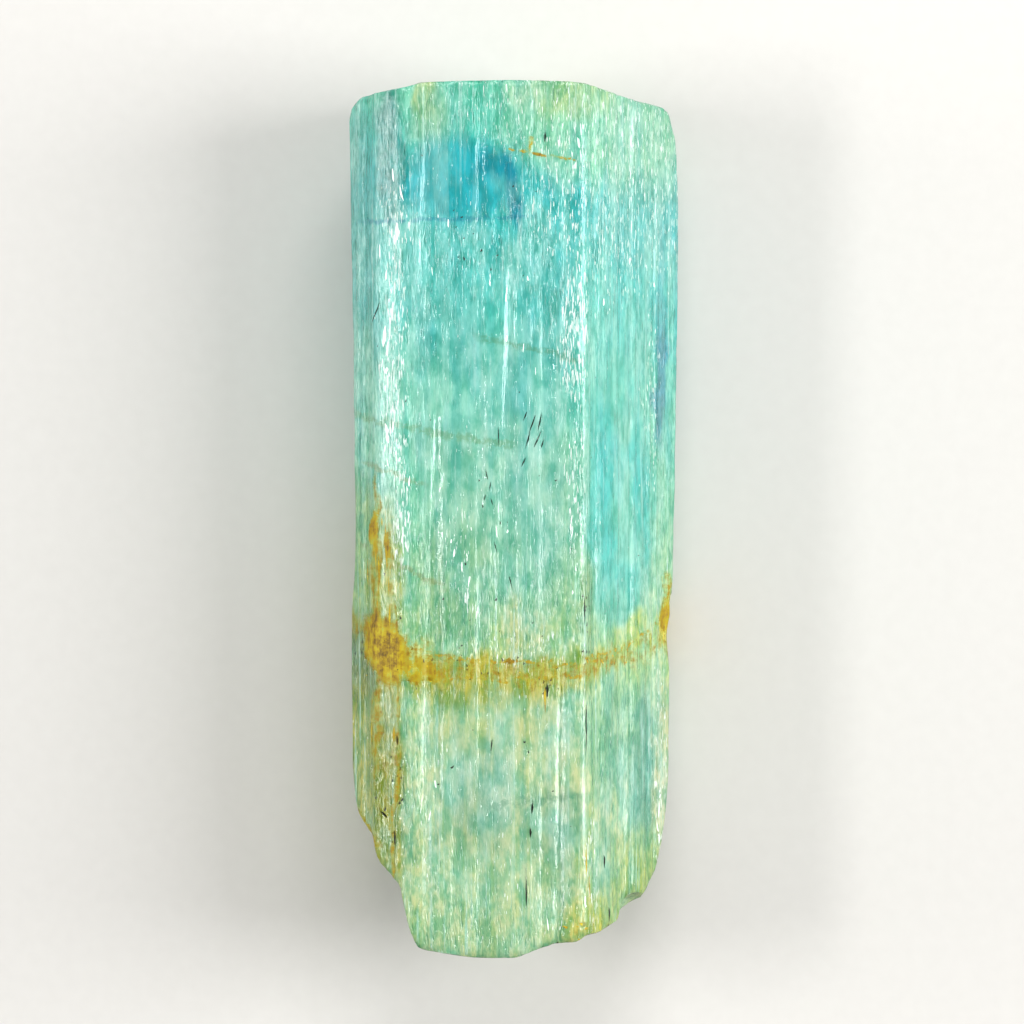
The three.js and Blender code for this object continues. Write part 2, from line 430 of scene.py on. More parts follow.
bodyPaint = {
    "zones": [  # from the root up
        (-1.0, "d6da96"),
        (-0.8, "d6e0ac"),
        (-0.5, "e0e8ac"),
        (-0.34, "d6e69c"),
        (-0.1, "b2deb0"),
        (0.25, "96e2cc"),
        (0.55, "72ddd2"),
        (0.78, "36cccc"),
        (0.86, "58d4c0"),
        (1.0, "80dcb8"),
    ],
    "zoneWander": 0.09,
    "edgeWander": 0.035,
    "clouds": [
        {"at": (0.45, 0.9), "reach": (0.6, 0.16), "colour": "b4ecc0", "amount": 0.8},
        {"at": (0.3, 0.96), "reach": (0.34, 0.06), "colour": "cfe098", "amount": 0.7},
        {"at": (0.8, 0.86), "reach": (0.3, 0.15), "colour": "a8dcb8", "amount": 0.8},
        {"at": (-0.53, 0.955), "reach": (0.07, 0.06), "up": (1.0, 0.3), "colour": "c3cc52", "amount": 0.9},
        {"at": (-0.5, 0.9), "reach": (0.12, 0.09), "colour": "b4d49a", "amount": 0.7},
        {"at": (-0.93, 0.6), "reach": (0.12, 0.36), "colour": "74c4bc", "amount": 0.75},
        {"at": (-0.93, 0.25), "reach": (0.12, 0.22), "colour": "a4dcc0", "amount": 0.75},
        {"at": (0.75, 0.68), "reach": (0.2, 0.12), "colour": "74cdc8", "amount": 0.5},
        {"at": (0.88, 0.52), "reach": (0.035, 0.16), "colour": "24b4bc", "amount": 0.7},
        {"at": (0.02, 0.24), "reach": (0.24, 0.2), "colour": "a6e2d2", "amount": 0.55},
        {"at": (0.2, 0.47), "reach": (0.2, 0.14), "colour": "6fcbc6", "amount": 0.5},
        {"at": (-0.4, 0.45), "reach": (0.2, 0.14), "colour": "76cdc4", "amount": 0.5},
        {"at": (-0.45, 0.17), "reach": (0.2, 0.05), "turn": -4, "colour": "86bf9d", "amount": 0.7},
        {"at": (-0.15, 0.24), "reach": (0.45, 0.16), "colour": "b0ecdc", "amount": 0.35},
        {"at": (-0.05, 0.02), "reach": (0.42, 0.2), "colour": "c8ecdc", "amount": 0.4},
        {"at": (-0.35, -0.16), "reach": (0.26, 0.16), "colour": "92c392", "amount": 0.6},
        {"at": (0.1, -0.1), "reach": (0.2, 0.14), "colour": "86cfb2", "amount": 0.5},
        {"at": (0.62, 0.02), "reach": (0.22, 0.3), "colour": "4cd4cc", "amount": 0.85},
        {"at": (-0.93, -0.1), "reach": (0.14, 0.2), "colour": "a4bc6c", "amount": 0.8},
        {"at": (0.02, -0.27), "reach": (0.14, 0.09), "turn": 8, "colour": "d0d088", "amount": 0.75},
        {"at": (0.35, -0.325), "reach": (0.3, 0.045), "turn": 14, "colour": "ccd050", "amount": 0.85},
        {"at": (0.75, -0.26), "reach": (0.22, 0.04), "turn": 12, "colour": "d8dc60", "amount": 0.8},
        {"at": (-0.15, -0.47), "reach": (0.5, 0.1), "colour": "c4cc88", "amount": 0.5},
        {"at": (0.6, -0.5), "reach": (0.2, 0.14), "colour": "6cbc8c", "amount": 0.75},
        {"at": (0.43, -0.24), "reach": (0.06, 0.16), "colour": "94b464", "amount": 0.75},
        {"at": (-0.2, -0.62), "reach": (0.22, 0.1), "colour": "a6ccb4", "amount": 0.6},
        {"at": (0.2, -0.68), "reach": (0.2, 0.08), "colour": "98c6a6", "amount": 0.6},
        {"at": (0.78, -0.6), "reach": (0.09, 0.24), "colour": "5fb39c", "amount": 0.85},
        {"at": (0.89, -0.6), "reach": (0.05, 0.26), "colour": "e6dcae", "amount": 0.85},
        {"at": (-0.2, -0.78), "reach": (0.16, 0.16), "colour": "93b27c", "amount": 0.5},
        {"at": (-0.52, -0.86), "reach": (0.2, 0.16), "colour": "c4d094", "amount": 0.6},
        {"at": (0.2, -0.8), "reach": (0.14, 0.14), "colour": "9cc4a0", "amount": 0.6},
        {"at": (0.45, -0.8), "reach": (0.1, 0.14), "colour": "c0cc60", "amount": 0.7},
        {"at": (0.72, -0.86), "reach": (0.22, 0.13), "colour": "b0c064", "amount": 0.8},
        {"at": (-0.2, -0.95), "reach": (0.5, 0.1), "colour": "b0c070", "amount": 0.7},
    ],
    "mottles": [  # uneven cloudiness: size in mm, fades out past the two places along
        {"size": 2.2, "stretch": 2.4, "seed": 3, "colour": "c8f2e4", "amount": 0.4, "between": (-1.2, 1.2)},
        {"size": 3.0, "stretch": 2.6, "seed": 8, "colour": "c0d488", "amount": 0.2, "between": (-1.4, -0.15)},
        {"size": 2.6, "stretch": 3.0, "seed": 12, "colour": "c8e0d0", "amount": 0.3, "between": (-1.2, -0.3)},
        {"size": 1.4, "stretch": 4.0, "seed": 17, "colour": "40c4c8", "amount": 0.4, "between": (-0.1, 1.0)},
        {"size": 3.6, "stretch": 1.5, "seed": 25, "colour": "94d09c", "amount": 0.3, "between": (-0.6, 0.5)},
    ],
    "tints": [  # patches over the mottles
        {"at": (-0.34, 0.77), "reach": (0.4, 0.1), "colour": "30c0cc", "amount": 0.8},
        {"at": (-0.15, 0.8), "reach": (0.08, 0.04), "colour": "08a4b4", "amount": 0.8},
        {"at": (-0.03, 0.745), "reach": (0.045, 0.1), "turn": 13, "colour": "0098ac", "amount": 0.95},
        {"at": (-0.74, 0.82), "reach": (0.09, 0.16), "colour": "009894", "amount": 0.9},
        {"at": (0.88, 0.31), "reach": (0.045, 0.14), "colour": "0094ac", "amount": 0.9},
        {"at": (-0.78, -0.14), "reach": (0.12, 0.18), "colour": "bcbc34", "amount": 0.75},
        {"at": (-0.93, -0.33), "reach": (0.13, 0.12), "colour": "6c7c2c", "amount": 0.85},
        {"at": (-0.92, -0.64), "reach": (0.14, 0.28), "colour": "b4b020", "amount": 0.8},
        {"at": (-0.76, -0.8), "reach": (0.12, 0.18), "colour": "bcb010", "amount": 0.8},
        {"at": (-0.77, -0.56), "reach": (0.11, 0.26), "colour": "a0a408", "amount": 0.9},
        {"at": (-0.25, -0.37), "reach": (0.5, 0.06), "colour": "c8b818", "amount": 0.75},
        {"at": (0.3, -0.34), "reach": (0.3, 0.045), "turn": 10, "colour": "ccc430", "amount": 0.65},
        {"at": (0.96, -0.25), "reach": (0.1, 0.07), "colour": "f4d800", "amount": 0.95},
        {"at": (0.42, -0.91), "reach": (0.18, 0.06), "turn": 14, "colour": "d8cc20", "amount": 0.8},
        {"at": (-0.2, -0.9), "reach": (0.6, 0.16), "colour": "dce8b0", "amount": 0.55},
        {"at": (0.75, -0.86), "reach": (0.24, 0.14), "colour": "bcc864", "amount": 0.6},
    ],
    "iron": [
        {"at": (-0.78, -0.295), "reach": (0.125, 0.088), "turn": 28, "up": (0.95, 0.5), "amount": 1.0},
        {"at": (-0.6, -0.345), "reach": (0.22, 0.04), "turn": -14, "up": (1.0, 0.5), "amount": 0.65},
        {"at": (-0.84, -0.12), "reach": (0.04, 0.26), "up": (0.95, 0.4), "amount": 0.4},
        {"at": (-0.75, -0.16), "reach": (0.03, 0.2), "up": (0.98, 0.4), "amount": 0.36},
        {"at": (-0.845, -0.02), "reach": (0.035, 0.06), "up": (0.95, 0.4), "amount": 0.8},
        {"at": (-0.77, -0.06), "reach": (0.025, 0.04), "up": (0.98, 0.4), "amount": 0.7},
        {"at": (0.96, -0.24), "reach": (0.08, 0.08), "up": (0.45, 0.6), "amount": 0.75},
        {"at": (0.93, -0.16), "reach": (0.04, 0.05), "up": (0.5, 0.5), "amount": 0.45},
        {"at": (-0.77, -0.52), "reach": (0.1, 0.24), "up": (0.95, 0.4), "amount": 0.17},
        {"at": (-0.83, -0.47), "reach": (0.025, 0.14), "up": (0.95, 0.4), "amount": 0.42},
        {"at": (-0.7, -0.45), "reach": (0.02, 0.12), "up": (1.0, 0.4), "amount": 0.4},
        {"at": (-0.72, -0.7), "reach": (0.018, 0.18), "up": (1.0, 0.4), "amount": 0.5},
        {"at": (0.08, 0.84), "reach": (0.025, 0.018), "up": (1.0, 0.5), "amount": 0.6},
        {"at": (0.15, 0.828), "reach": (0.4, 0.04), "up": (1.0, 0.5), "amount": 0.12},
        {"at": (0.42, -0.93), "reach": (0.18, 0.035), "turn": 14, "up": (0.9, 0.5), "amount": 0.18},
        {"at": (-0.88, -0.7), "reach": (0.05, 0.06), "turn": 30, "up": (0.8, 0.4), "amount": 0.6},
    ],
    "band": {"along": -0.345, "bow": 0.14, "dip": 0.075, "above": 0.03, "below": 0.045, "amount": 0.36},
    "calm": [  # where the faces are smoother
        {"at": (-0.15, 0.2), "reach": (0.5, 0.36), "amount": 0.85},
        {"at": (0.62, 0.12), "reach": (0.18, 0.34), "amount": 0.7},
        {"at": (-0.05, -0.62), "reach": (0.5, 0.28), "amount": 0.7},
        {"at": (-0.3, 0.77), "reach": (0.34, 0.09), "amount": 0.9},
    ],
    "streaks": [  # where the white streaks crowd: silky streaks and painted highlights, with the painted highlight down the left bevel
        {"at": (0.6, 0.76), "reach": (0.6, 0.26), "amount": 0.9},
        {"at": (0.3, 0.93), "reach": (0.7, 0.1), "amount": 0.6},
        {"at": (-0.7, 0.68), "reach": (0.14, 0.1), "amount": 0.8},
        {"at": (-0.72, 0.35), "reach": (0.075, 0.34), "up": (1.0, 0.3), "amount": 1.2},
        {"at": (-0.68, 0.0), "reach": (0.07, 0.14), "up": (1.0, 0.3), "amount": 1.2},
        {"at": (0.36, 0.42), "reach": (0.09, 0.2), "up": (1.0, 0.3), "amount": 1.4},
        {"at": (0.36, 0.05), "reach": (0.08, 0.2), "up": (1.0, 0.3), "amount": 0.9},
        {"at": (0.83, 0.3), "reach": (0.05, 0.3), "amount": 0.7},
        {"at": (-0.33, -0.05), "reach": (0.08, 0.12), "amount": 0.75},
        {"at": (-0.27, -0.18), "reach": (0.06, 0.07), "amount": 0.85},
        {"at": (0.05, -0.3), "reach": (0.4, 0.05), "amount": 0.6},
        {"at": (-0.55, -0.6), "reach": (0.04, 0.3), "amount": 0.5},
        {"at": (0.05, -0.8), "reach": (0.25, 0.16), "amount": 0.35},
        {"at": (0.45, -0.8), "reach": (0.06, 0.16), "amount": 1.0},
        {"at": (0.88, -0.6), "reach": (0.05, 0.28), "amount": 0.75},
    ],
}


def patchMask(patch, across, along, up):
    turn = math.radians(patch.get("turn", 0))
    # a turn is a true angle, so it is made in lengths and not in shares of the box
    x = (across - patch["at"][0]) * boxHalf.x
    y = (along - patch["at"][1]) * boxHalf.y
    sideways = (x * math.cos(turn) + y * math.sin(turn)) / (patch["reach"][0] * boxHalf.x)
    lengthways = (y * math.cos(turn) - x * math.sin(turn)) / (patch["reach"][1] * boxHalf.y)
    far = sideways ** 2 + lengthways ** 2
    if "up" in patch:
        far = far + ((up - patch["up"][0]) / patch["up"][1]) ** 2
    closeness = np.clip(1.3 - 0.9 * far, 0, 1)
    return patch["amount"] * closeness * closeness * (3 - 2 * closeness)


def noiseOver(points, width, stretch, seed):  # three smooth random numbers from -1 to 1 for each point
    scale = Vector((1 / (width * mm), 1 / (width * stretch * mm), 1 / (width * mm)))
    shift = Vector((seed, seed, seed))
    return np.array([noise.noise_vector(Vector(p) * scale + shift) for p in points])


def mottleMask(mottle, points, along):
    rough = noiseOver(points, mottle["size"], mottle["stretch"], mottle["seed"])[:, 0]
    rough = rough + 0.5 * noiseOver(points, mottle["size"] / 3, mottle["stretch"], mottle["seed"])[:, 1]
    low, high = mottle["between"]
    inside = np.clip((along - low) / 0.3, 0, 1) * np.clip((high - along) / 0.3, 0, 1)
    return mottle["amount"] * inside * np.clip((rough + 0.05) / 0.5, 0, 1)


def bandMask(band, across, along, up):  # the stained fracture comes out at the faces along this line
    middle = band["along"] + band["bow"] * across ** 2 - band["dip"] * (1 - up)
    off = along - middle
    reach = np.where(off > 0, band["above"], band["below"])
    return band["amount"] * np.exp(-(off / reach) ** 2)


def laidOver(colour, code, mask):
    mask = mask[:, None]
    return colour * (1 - mask) + np.array(hexColour(code)[:3]) * mask


def strongest(start, patches, *where):  # patches don't add up where they overlap
    for patch in patches:
        start = np.maximum(start, patchMask(patch, *where))
    return start


def storePaint(name, values):
    layer = body.data.color_attributes.new(name, "FLOAT_COLOR", "POINT")
    filled = np.ones((len(body.data.vertices), 4), np.float32)
    filled[:, :3] = values
    layer.data.foreach_set("color", filled.ravel())


def paintBody():
    points = np.zeros(len(body.data.vertices) * 3)
    body.data.vertices.foreach_get("co", points)
    points = points.reshape(-1, 3)
    broad = noiseOver(points, 5.0, 1.6, 0)
    close = noiseOver(points, 1.1, 4.0, 0)
    fine = noiseOver(points, 1.6, 1.0, 5)
    across = (points[:, 0] - boxMiddle.x) / boxHalf.x
    along = (points[:, 1] - boxMiddle.y) / boxHalf.y
    up = (points[:, 2] - boxLow.z) / (2 * boxHalf.z)
    zoneAlong = along + bodyPaint["zoneWander"] * broad[:, 0]
    stops = [place for place, _ in bodyPaint["zones"]]
    shades = np.array([hexColour(code)[:3] for _, code in bodyPaint["zones"]])
    colour = np.stack([np.interp(zoneAlong, stops, shades[:, i]) for i in range(3)], 1)
    # the patches have uneven edges
    across = across + bodyPaint["edgeWander"] * (0.7 * broad[:, 1] + 0.5 * close[:, 1] + 0.9 * fine[:, 0])
    along = along + bodyPaint["edgeWander"] * (0.5 * broad[:, 2] + 0.5 * close[:, 2] + 0.4 * fine[:, 1])
    where = (across, along, up)
    for cloud in bodyPaint["clouds"]:
        colour = laidOver(colour, cloud["colour"], patchMask(cloud, *where))
    for mottle in bodyPaint["mottles"]:
        colour = laidOver(colour, mottle["colour"], mottleMask(mottle, points, along))
    for tint in bodyPaint["tints"]:
        colour = laidOver(colour, tint["colour"], patchMask(tint, *where))
    nothing = np.zeros(len(points))
    iron = strongest(bandMask(bodyPaint["band"], *where), bodyPaint["iron"], *where)
    streaks = strongest(nothing, bodyPaint["streaks"], *where)
    calm = strongest(nothing, bodyPaint["calm"], *where)
    storePaint("zoneColour", colour)
    storePaint("marks", np.stack([iron, streaks, calm], 1))


paintBody()
print("body is painted")


# the body's finish

beryl = {
    # where healed fractures come out at the faces, in mm: along, slope, bow, width, wander, from, to
    "healedLines": [
        (21.85, 0.02, 0.0, 0.3, 0.6, -11.5, 1.5, "0c7c98"),
        (12.6, -0.25, 0.0, 0.4, 1.2, -3.0, 4.8, "5c9464"),
        (5.4, -0.09, 0.009, 0.5, 1.2, -12.0, 0.0, "6c9a60"),
        (0.1, -0.36, 0.0, 0.3, 1.0, -11.2, -6.5, "84883c"),
        (-7.6, -0.5, 0.0, 0.42, 1.4, -11.5, -5.0, "84883c"),
        (-20.6, 0.1, 0.0, 0.5, 1.6, -2.0, 5.0, "4c9a7c"),
    ],
    "healedAmount": 0.45,
    "grains": {  # pitch in mm, stretch, detail and seed
        "silk": (0.1, 9.0, 1.0, 0.0),  # short bright streaks: silk in the crystal and painted glints
        "ribs": (0.34, 40.0, 2.0, 11.0),  # long ones, painted paler as a highlight on their proud ridges
        "fibre": (0.9, 2.0, 5.0, 5.0),  # soft shading between them
        "milk": (2.6, 1.6, 5.0, 21.0),  # paler clouds
        "tooth": (0.2, 3.2, 3.0, 41.0),  # fine rough skin, painted darker in its low spots as shade
        "hairs": (0.13, 10.0, 1.0, 51.0),  # short sunk streaks, painted darker as shade in them
        "slats": (1.2, 45.0, 1.0, 61.0),  # long bands, painted darker and paler as the shade and light of flat steps along the faces
    },
    "shades": {
        "deep": "b4e0da",
        "milk": "b4f2e2",
        "slatShade": "3cb4b4",
        "slatLight": "dcf8ec",
        "rib": "d8fbf0",
        "hair": "74b8b4",
        "tooth": "a8dcd4",
        # the white of the silk streaks and of the painted glints
        "silk": "f4fff8",
    },
    "seeThrough": 0.36,
    "bendsLight": 1.577,
    "roughness": (0.1, 0.34),  # on the clean faces and on the streaks
    "tint": "8fd8cc",
    "tintDepth": 9.0,  # absorption per metre
}


def berylFinish():
    material, tree, shader, place = newMaterial("beryl")
    zones = addNode(tree, "ShaderNodeVertexColor", layer_name="zoneColour").outputs["Color"]
    marks = addNode(tree, "ShaderNodeVertexColor", layer_name="marks").outputs["Color"]
    marks = addNode(tree, "ShaderNodeSeparateColor", {0: marks}).outputs
    iron, crowd = marks["Red"], marks["Green"]
    lively = calc(tree, "MULTIPLY_ADD", marks["Blue"], -0.7, 1.0)  # less where the faces are smoother
    grains = {name: grain(tree, place, *given) for name, given in beryl["grains"].items()}
    shades = beryl["shades"]

    def darker(colour, name):
        return mixColour(tree, 1.0, colour, shades[name], "MULTIPLY")

    def livelier(mask):
        return calc(tree, "MULTIPLY", lively, mask)

    # deeper and paler shading
    colour = mixColour(tree, smooth(tree, grains["fibre"], 0.36, 0.62), darker(zones, "deep"), zones)
    colour = mixColour(tree, smooth(tree, grains["milk"], 0.5, 0.66, 0.0, 0.22), colour, shades["milk"])
    # painted shade and painted light: long darker and paler bands where flat steps along the faces would turn
    # towards or away from the light
    colour = mixColour(tree, smooth(tree, grains["slats"], 0.42, 0.44, 0.14, 0.0), colour, shades["slatShade"])
    colour = mixColour(tree, smooth(tree, grains["slats"], 0.55, 0.57, 0.0, 0.12), colour, shades["slatLight"])
    # painted highlight: the ribs stand proud and are painted paler
    share = livelier(smooth(tree, grains["ribs"], 0.6, 0.7, 0.0, 0.45))
    colour = mixColour(tree, share, colour, shades["rib"])
    # painted shade: the hairs are sunk and are painted darker
    share = livelier(smooth(tree, grains["hairs"], 0.6, 0.7, 0.0, 0.5))
    colour = mixColour(tree, share, colour, darker(colour, "hair"))
    # painted shade: the tooth's low spots are painted darker
    share = livelier(smooth(tree, grains["tooth"], 0.36, 0.6, 0.6, 0.0))
    colour = mixColour(tree, share, colour, darker(colour, "tooth"))

    # white streaks, thickest where they crowd: silk in the crystal, and painted glints and highlights
    bar = calc(tree, "SUBTRACT", 0.76, calc(tree, "MULTIPLY", crowd, 0.17))
    silkAndGlints = smooth(tree, calc(tree, "SUBTRACT", grains["silk"], bar), 0.0, 0.05)
    colour = mixColour(tree, calc(tree, "MULTIPLY", silkAndGlints, 0.95), colour, shades["silk"])

    ragged = useGroup(tree, raggedGroup, Vector=place)
    for line in beryl["healedLines"]:
        *numbers, code = line
        share = calc(tree, "MULTIPLY", crossLine(tree, place, ragged, numbers), beryl["healedAmount"])
        colour = mixColour(tree, share, colour, code)

    feed(tree, shader.inputs["Base Color"], colour)
    dull = calc(tree, "ADD", silkAndGlints, smooth(tree, iron, 0.1, 0.5))
    feed(tree, shader.inputs["Roughness"], smooth(tree, dull, 0.0, 1.2, *beryl["roughness"]))
    shader.inputs["IOR"].default_value = beryl["bendsLight"]
    shader.inputs["Transmission Weight"].default_value = beryl["seeThrough"]

    # silk, ribs and tooth stand proud, and hairs are sunk
    relief = calc(tree, "ADD", grains["ribs"], grains["tooth"])
    relief = calc(tree, "MULTIPLY_ADD", grains["silk"], 0.6, relief)
    sunk = calc(tree, "MULTIPLY", smooth(tree, grains["hairs"], 0.55, 0.7), 0.4)
    relief = livelier(calc(tree, "SUBTRACT", relief, sunk))
    bump = addNode(tree, "ShaderNodeBump", {"Height": relief, "Strength": 1.0, "Distance": 0.06 * mm})
    feed(tree, shader.inputs["Normal"], bump.outputs[0])
    values = {"Color": beryl["tint"], "Density": beryl["tintDepth"]}
    inside = addNode(tree, "ShaderNodeVolumeAbsorption", values)
    feed(tree, tree.nodes["Material Output"].inputs["Volume"], inside.outputs[0])
    return material


def finishPiece(piece, material):
    piece.data.materials.clear()
    piece.data.materials.append(material)
    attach(piece, "root")


# the iron stain lies on the faces as a thin skin of its own: yellow where it is thin, brown where it is thick

ironSkin = {
    "thinnest": 0.03,
    "thickness": 0.03 * mm,
    "amount": 0.94,
    "roughness": 0.6,
    # where stained fractures come out at the faces, with the same numbers as the healed ones
    "lines": [
        (26.75, -0.16, 0.0, 0.18, 0.7, -1.0, 5.0),
        (-10.4, 0.0, 0.018, 0.24, 1.4, -9.5, 3.2),
        (-11.7, 0.0, 0.012, 0.2, 1.8, -9.8, 5.5),
        (-11.2, 0.06, 0.022, 0.26, 2.4, 1.5, 12.2),
    ],
    "lineAmount": 0.56,
    "colours": [(0.05, "ccc838"), (0.22, "bca804"), (0.5, "967a02"), (0.8, "5a4402")],
}


def makeIronSkin():
    skin = body.copy()
    skin.data = body.data.copy()
    skin.name = "ironSkin"
    bpy.context.scene.collection.objects.link(skin)
    marks = np.zeros(len(skin.data.vertices) * 4, np.float32)
    skin.data.color_attributes["marks"].data.foreach_get("color", marks)
    selectPoints(skin, marks[0::4] < ironSkin["thinnest"])
    bpy.ops.mesh.delete(type="VERT")
    bpy.ops.object.mode_set(mode="OBJECT")
    applyModifier(skin, "SOLIDIFY", thickness=ironSkin["thickness"], offset=0)
    return skin


def ironSkinFinish():
    material, tree, shader, place = newMaterial("ironSkin")
    marks = addNode(tree, "ShaderNodeVertexColor", layer_name="marks").outputs["Color"]
    iron = addNode(tree, "ShaderNodeSeparateColor", {0: marks}).outputs["Red"]
    ragged = useGroup(tree, raggedGroup, Vector=place)
    for line in ironSkin["lines"]:
        amount = calc(tree, "MULTIPLY", crossLine(tree, place, ragged, line), ironSkin["lineAmount"])
        iron = calc(tree, "MAXIMUM", iron, amount)
    # crumbs and threads both run from about -1 to 1
    crumbs = calc(tree, "MULTIPLY_ADD", cloudy(tree, place, 1300.0, 5.0, 0.75), 2.4, -1.2)
    threads = calc(tree, "MULTIPLY_ADD", grain(tree, place, 0.2, 16.0, 3.0, 31.0), 2.0, -1.0)
    rough = calc(tree, "MULTIPLY_ADD", threads, 0.6, calc(tree, "MULTIPLY", crumbs, 1.1))
    depth = calc(tree, "MULTIPLY_ADD", rough, 0.8, calc(tree, "MULTIPLY", iron, 0.45))
    feed(tree, shader.inputs["Base Color"], ramp(tree, depth, ironSkin["colours"]))
    cover = smooth(tree, calc(tree, "MULTIPLY_ADD", rough, 0.7, iron), 0.06, 0.95)
    cover = calc(tree, "MULTIPLY", cover, smooth(tree, iron, 0.02, 0.3))
    feed(tree, shader.inputs["Alpha"], calc(tree, "MULTIPLY", cover, ironSkin["amount"]))
    shader.inputs["Roughness"].default_value = ironSkin["roughness"]
    return material


finishPiece(makeIronSkin(), ironSkinFinish())
finishPiece(body, berylFinish())
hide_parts("crystal")
print("body is finished")


# what is sealed inside

def surfaceBelow(across, along):  # the body's face at a place, looking down
    above = spot(across, along, 1) + Vector((0, 0, 5 * mm))
    found, place, normal, _ = body.ray_cast(above, Vector((0, 0, -1)))
    return (place, normal) if found else None


def surfaceAround(chance):  # the body's face from the side, at a random place along it and angle about it
    middle = spot(0, chance.uniform(-0.95, 0.95), 0.5)
    angle = chance.uniform(0, math.tau)
    outward = Vector((math.cos(angle), 0, math.sin(angle)))
    found, place, normal, _ = body.ray_cast(middle + outward * boxHalf.y, -outward)
    return (place, normal) if found else None


def facePlaces(patch, chance, even=False):  # random places on the face in a patch: even ones fill its length
    for _ in range(patch["count"]):
        across = chance.gauss(patch["at"][0], patch["reach"][0] * 0.6)
        if even:
            along = patch["at"][1] + chance.uniform(-1, 1) * patch["reach"][1]
        else:
            along = chance.gauss(patch["at"][1], patch["reach"][1] * 0.6)
        found = surfaceBelow(across, along)
        if found:
            yield found


def scatter(models, matrices, name, chance):  # a copy of one of the models at each place, joined as one piece
    twins = []
    for matrix in matrices:
        model = chance.choice(models)
        twin = model.copy()
        twin.data = model.data.copy()
        twin.data.transform(matrix)
        twins.append(twin)
    for twin in twins:
        bpy.context.scene.collection.objects.link(twin)
    deselectAll()
    for model in models:
        model.select_set(True)
    bpy.ops.object.delete()
    return joinAll(twins, name)


def joinAll(things, name):
    deselectAll()
    for thing in things:
        thing.select_set(True)
    bpy.context.view_layer.objects.active = things[0]
    bpy.ops.object.join()
    joined = bpy.context.object
    joined.name = name
    joined.data.name = name
    return joined


def makeSpindle(sides):  # a thin bar two units long on Y with drawn-in ends
    deselectAll()
    bpy.ops.mesh.primitive_cylinder_add(vertices=sides, radius=1, depth=2, rotation=(math.pi / 2, 0, 0))
    spindle = bpy.context.object
    bpy.ops.object.transform_apply(rotation=True)
    bpy.ops.object.mode_set(mode="EDIT")
    bpy.ops.mesh.select_all(action="SELECT")
    bpy.ops.mesh.bisect(plane_co=(0, 0, 0), plane_no=(0, 1, 0))
    selectPoints(spindle, [abs(point.co.y) > 0.9 for point in spindle.data.vertices])
    bpy.ops.transform.resize(value=(0.12, 1, 0.12), center_override=(0, 0, 0))
    bpy.ops.object.mode_set(mode="OBJECT")
    return spindle


def makeShard(seed, jag):  # a small ragged chip about two units across
    deselectAll()
    bpy.ops.mesh.primitive_ico_sphere_add(subdivisions=1, radius=1)
    shard = bpy.context.object
    bpy.ops.object.mode_set(mode="EDIT")
    bpy.ops.mesh.select_all(action="SELECT")
    bpy.ops.transform.vertex_random(offset=jag, uniform=0.3, normal=0.4, seed=seed)
    bpy.ops.object.mode_set(mode="OBJECT")
    return shard


def lying(place, normal, size, turn):  # a matrix that lays a shape on a face, turned about the face's normal
    # the shape's Y is kept along the crystal and its Z along the normal
    out = normal.normalized()
    side = Vector((0, 1, 0)).cross(out).normalized()
    up = out.cross(side)
    axes = Matrix((side, up, out)).transposed().to_4x4()
    scale = Matrix.Diagonal((*size, 1))
    return Matrix.Translation(place) @ axes @ Matrix.Rotation(turn, 4, "Z") @ scale


# fine growth tubes, all through the crystal and along it

growthTubes = {
    "count": 1500,
    "thickness": (0.018 * mm, 0.05 * mm),
    "halfLength": (0.3 * mm, 2.4 * mm),
    "lean": 4,  # degrees
    "crowdAt": (0.45, 0.62),  # across and along
    "crowdReach": (0.5, 0.35),
    "crowded": 0.45,  # share of the tubes that stand in the crowd
    "deepest": 5 * mm,
    "seed": 7,
}


def makeGrowthTubes():
    chance = random.Random(growthTubes["seed"])
    places = []
    while len(places) < growthTubes["count"]:
        if chance.random() < growthTubes["crowded"]:
            across = chance.gauss(growthTubes["crowdAt"][0], growthTubes["crowdReach"][0] / 2)
            along = chance.gauss(growthTubes["crowdAt"][1], growthTubes["crowdReach"][1] / 2)
            found = surfaceBelow(across, along)
        else:
            found = surfaceAround(chance)
        if not found:
            continue
        place, normal = found
        if abs(normal.y) > 0.3:
            continue
        below = chance.uniform(0.06 * mm, 0.4 * mm) + growthTubes["deepest"] * chance.random() ** 3
        thick = chance.uniform(*growthTubes["thickness"])
        length = chance.uniform(*growthTubes["halfLength"]) * chance.uniform(0.4, 1)
        if abs(place.y - boxMiddle.y) + length > 0.95 * boxHalf.y:
            continue
        lean = math.radians(chance.gauss(0, growthTubes["lean"] / 2))
        places.append(lying(place - normal * below, normal, (thick, length, thick * 0.6), lean))
    return scatter([makeSpindle(4)], places, "growthTubes", chance)
